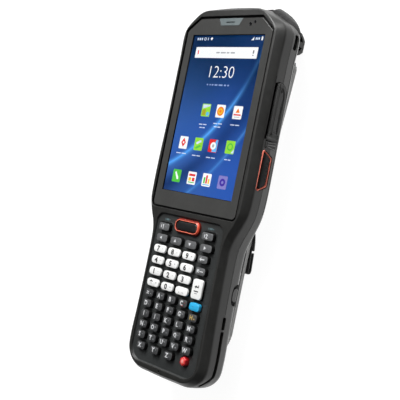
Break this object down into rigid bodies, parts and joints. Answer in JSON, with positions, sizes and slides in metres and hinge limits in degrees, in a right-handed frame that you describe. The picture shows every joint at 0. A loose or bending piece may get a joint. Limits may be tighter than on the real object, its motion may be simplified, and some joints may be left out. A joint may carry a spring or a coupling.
{
  "type": "handheld data terminal",
  "caption": "Rugged handheld data terminal: wide display head, keypad grip, side scan keys, hooded scan window, drawer battery in the lower end and a hand strap across the back.",
  "frame": {"origin": "centre of the bounding box in plan, on the plane the terminal lies on", "axes": "the terminal lies on its back with a 1.6 degree lean: +Z out of the display, +Y from the keypad to the scan window, +X to the right of the display"},
  "size_m": [0.0761, 0.2047, 0.037],
  "materials": {
    "housing_grey": "fine moulded texture",
    "housing_dark": "coarse moulded texture",
    "hood_rubber": "matt grained rubber",
    "cover_glass": "polished",
    "display": "lit display",
    "grille_teal": "satin",
    "lens_black": "polished",
    "mat_rubber": "matt",
    "circuit_board": "solder mask",
    "ring_orange": "satin",
    "frame_alloy": "die cast",
    "module_black": "moulded",
    "window_red": "tinted, polished",
    "metal_bright": "bright",
    "key_black": "satin",
    "key_white": "satin",
    "key_blue": "satin",
    "key_red": "satin",
    "cover_rubber": "matt",
    "battery_case": "moulded",
    "latch_grey": "ribbed",
    "contact_gold": "plated",
    "bracket_black": "moulded",
    "strap_fabric": "woven"
  },
  "bodies": {
    "housing": {"front_housing": "housing_grey", "rear_housing": "housing_dark", "scan_hood": "hood_rubber", "cover_glass": "cover_glass", "lcd_panel": "display", "earpiece_grille": "grille_teal", "sensor_lenses": "lens_black", "key_mat": "mat_rubber", "keypad_board": "circuit_board", "scan_key_ring": "ring_orange", "mid_frame": "frame_alloy", "main_board": "circuit_board", "scan_engine": "module_black", "scan_window": "window_red", "speaker": "module_black", "vibration_motor": "metal_bright", "side_key_rings": "ring_orange", "usb_connector": "metal_bright", "battery_contacts": "contact_gold", "charge_contacts": "contact_gold", "strap_bracket": "bracket_black", "strap_webbing": "strap_fabric", "strap_tail": "strap_fabric", "strap_anchor_pin": "metal_bright", "housing_screws": "metal_bright"},
    "port_cover": {"port_cover": "cover_rubber"},
    "battery": {"battery_pack": "battery_case"},
    "battery_latch": {"battery_latch": "latch_grey"},
    "side_key_right": {"side_key_right": "key_black"},
    "side_key_left": {"side_key_left": "key_black"},
    "scan_key": {"scan_key": "key_black"},
    "key_enter": {"key_enter": "key_white"},
    "key_p1": {"key_p1": "key_black"},
    "key_p2": {"key_p2": "key_black"},
    "key_up": {"key_up": "key_black"},
    "key_down": {"key_down": "key_black"},
    "key_left": {"key_left": "key_black"},
    "key_right": {"key_right": "key_black"},
    "key_blue": {"key_blue": "key_blue"},
    "key_power": {"key_power": "key_red"},
    "letter_row_1": {"letter_row_1": "key_black"},
    "letter_row_2": {"letter_row_2": "key_black"},
    "letter_row_3": {"letter_row_3": "key_black"},
    "letter_row_4": {"letter_row_4": "key_black"},
    "letter_row_5": {"letter_row_5": "key_black"},
    "letter_row_6": {"letter_row_6": "key_black"},
    "key_backspace": {"key_backspace": "key_black"},
    "key_escape": {"key_escape": "key_black"},
    "key_5": {"key_5": "key_white"},
    "key_0": {"key_0": "key_white"},
    "key_1": {"key_1": "key_white"},
    "key_2": {"key_2": "key_white"},
    "key_3": {"key_3": "key_white"},
    "key_4": {"key_4": "key_white"},
    "key_6": {"key_6": "key_white"},
    "key_7": {"key_7": "key_white"},
    "key_8": {"key_8": "key_white"},
    "key_9": {"key_9": "key_white"},
    "key_star": {"key_star": "key_white"},
    "key_dot": {"key_dot": "key_white"}
  },
  "joints": [
    {"name": "port_cover_hinge", "type": "hinge", "parent": "housing", "child": "port_cover", "pos_m": [0.0369, 0.03041, 0.02671], "axis": [0, 0.028, -0.9996], "range_deg": [0, 100]},
    {"name": "battery_slide", "type": "slide", "parent": "housing", "child": "battery", "axis": [0, -0.9996, -0.028], "range_m": [0, 0.082]},
    {"name": "battery_latch_slide", "type": "slide", "parent": "battery", "child": "battery_latch", "axis": [1, 0, 0], "range_m": [0, 0.006], "stiffness_N_per_m": 60},
    {"name": "side_key_right_press", "type": "slide", "parent": "housing", "child": "side_key_right", "axis": [-1, 0, 0], "range_m": [0, 0.0005], "stiffness_N_per_m": 700},
    {"name": "side_key_left_press", "type": "slide", "parent": "housing", "child": "side_key_left", "axis": [1, 0, 0], "range_m": [0, 0.0005], "stiffness_N_per_m": 700},
    {"name": "scan_key_press", "type": "slide", "parent": "housing", "child": "scan_key", "axis": [0, 0.028, -0.9996], "range_m": [0, 0.0005], "stiffness_N_per_m": 450},
    {"name": "key_enter_press", "type": "slide", "parent": "housing", "child": "key_enter", "axis": [0, 0.028, -0.9996], "range_m": [0, 0.0005], "stiffness_N_per_m": 450},
    {"name": "key_p1_press", "type": "slide", "parent": "housing", "child": "key_p1", "axis": [0, 0.028, -0.9996], "range_m": [0, 0.0005], "stiffness_N_per_m": 450},
    {"name": "key_p2_press", "type": "slide", "parent": "housing", "child": "key_p2", "axis": [0, 0.028, -0.9996], "range_m": [0, 0.0005], "stiffness_N_per_m": 450},
    {"name": "key_up_press", "type": "slide", "parent": "housing", "child": "key_up", "axis": [0, 0.028, -0.9996], "range_m": [0, 0.0005], "stiffness_N_per_m": 450},
    {"name": "key_down_press", "type": "slide", "parent": "housing", "child": "key_down", "axis": [0, 0.028, -0.9996], "range_m": [0, 0.0005], "stiffness_N_per_m": 450},
    {"name": "key_left_press", "type": "slide", "parent": "housing", "child": "key_left", "axis": [0, 0.028, -0.9996], "range_m": [0, 0.0005], "stiffness_N_per_m": 450},
    {"name": "key_right_press", "type": "slide", "parent": "housing", "child": "key_right", "axis": [0, 0.028, -0.9996], "range_m": [0, 0.0005], "stiffness_N_per_m": 450},
    {"name": "key_blue_press", "type": "slide", "parent": "housing", "child": "key_blue", "axis": [0, 0.028, -0.9996], "range_m": [0, 0.0005], "stiffness_N_per_m": 450},
    {"name": "key_power_press", "type": "slide", "parent": "housing", "child": "key_power", "axis": [0, 0.028, -0.9996], "range_m": [0, 0.0005], "stiffness_N_per_m": 450},
    {"name": "letter_row_1_press", "type": "slide", "parent": "housing", "child": "letter_row_1", "axis": [0, 0.028, -0.9996], "range_m": [0, 0.0005], "stiffness_N_per_m": 1200},
    {"name": "letter_row_2_press", "type": "slide", "parent": "housing", "child": "letter_row_2", "axis": [0, 0.028, -0.9996], "range_m": [0, 0.0005], "stiffness_N_per_m": 1200},
    {"name": "letter_row_3_press", "type": "slide", "parent": "housing", "child": "letter_row_3", "axis": [0, 0.028, -0.9996], "range_m": [0, 0.0005], "stiffness_N_per_m": 1200},
    {"name": "letter_row_4_press", "type": "slide", "parent": "housing", "child": "letter_row_4", "axis": [0, 0.028, -0.9996], "range_m": [0, 0.0005], "stiffness_N_per_m": 1200},
    {"name": "letter_row_5_press", "type": "slide", "parent": "housing", "child": "letter_row_5", "axis": [0, 0.028, -0.9996], "range_m": [0, 0.0005], "stiffness_N_per_m": 1200},
    {"name": "letter_row_6_press", "type": "slide", "parent": "housing", "child": "letter_row_6", "axis": [0, 0.028, -0.9996], "range_m": [0, 0.0005], "stiffness_N_per_m": 1200},
    {"name": "key_backspace_press", "type": "slide", "parent": "housing", "child": "key_backspace", "axis": [0, 0.028, -0.9996], "range_m": [0, 0.0005], "stiffness_N_per_m": 450},
    {"name": "key_escape_press", "type": "slide", "parent": "housing", "child": "key_escape", "axis": [0, 0.028, -0.9996], "range_m": [0, 0.0005], "stiffness_N_per_m": 450},
    {"name": "key_5_press", "type": "slide", "parent": "housing", "child": "key_5", "axis": [0, 0.028, -0.9996], "range_m": [0, 0.0005], "stiffness_N_per_m": 450},
    {"name": "key_0_press", "type": "slide", "parent": "housing", "child": "key_0", "axis": [0, 0.028, -0.9996], "range_m": [0, 0.0005], "stiffness_N_per_m": 450},
    {"name": "key_1_press", "type": "slide", "parent": "housing", "child": "key_1", "axis": [0, 0.028, -0.9996], "range_m": [0, 0.0005], "stiffness_N_per_m": 450},
    {"name": "key_2_press", "type": "slide", "parent": "housing", "child": "key_2", "axis": [0, 0.028, -0.9996], "range_m": [0, 0.0005], "stiffness_N_per_m": 450},
    {"name": "key_3_press", "type": "slide", "parent": "housing", "child": "key_3", "axis": [0, 0.028, -0.9996], "range_m": [0, 0.0005], "stiffness_N_per_m": 450},
    {"name": "key_4_press", "type": "slide", "parent": "housing", "child": "key_4", "axis": [0, 0.028, -0.9996], "range_m": [0, 0.0005], "stiffness_N_per_m": 450},
    {"name": "key_6_press", "type": "slide", "parent": "housing", "child": "key_6", "axis": [0, 0.028, -0.9996], "range_m": [0, 0.0005], "stiffness_N_per_m": 450},
    {"name": "key_7_press", "type": "slide", "parent": "housing", "child": "key_7", "axis": [0, 0.028, -0.9996], "range_m": [0, 0.0005], "stiffness_N_per_m": 450},
    {"name": "key_8_press", "type": "slide", "parent": "housing", "child": "key_8", "axis": [0, 0.028, -0.9996], "range_m": [0, 0.0005], "stiffness_N_per_m": 450},
    {"name": "key_9_press", "type": "slide", "parent": "housing", "child": "key_9", "axis": [0, 0.028, -0.9996], "range_m": [0, 0.0005], "stiffness_N_per_m": 450},
    {"name": "key_star_press", "type": "slide", "parent": "housing", "child": "key_star", "axis": [0, 0.028, -0.9996], "range_m": [0, 0.0005], "stiffness_N_per_m": 450},
    {"name": "key_dot_press", "type": "slide", "parent": "housing", "child": "key_dot", "axis": [0, 0.028, -0.9996], "range_m": [0, 0.0005], "stiffness_N_per_m": 450}
  ]
}
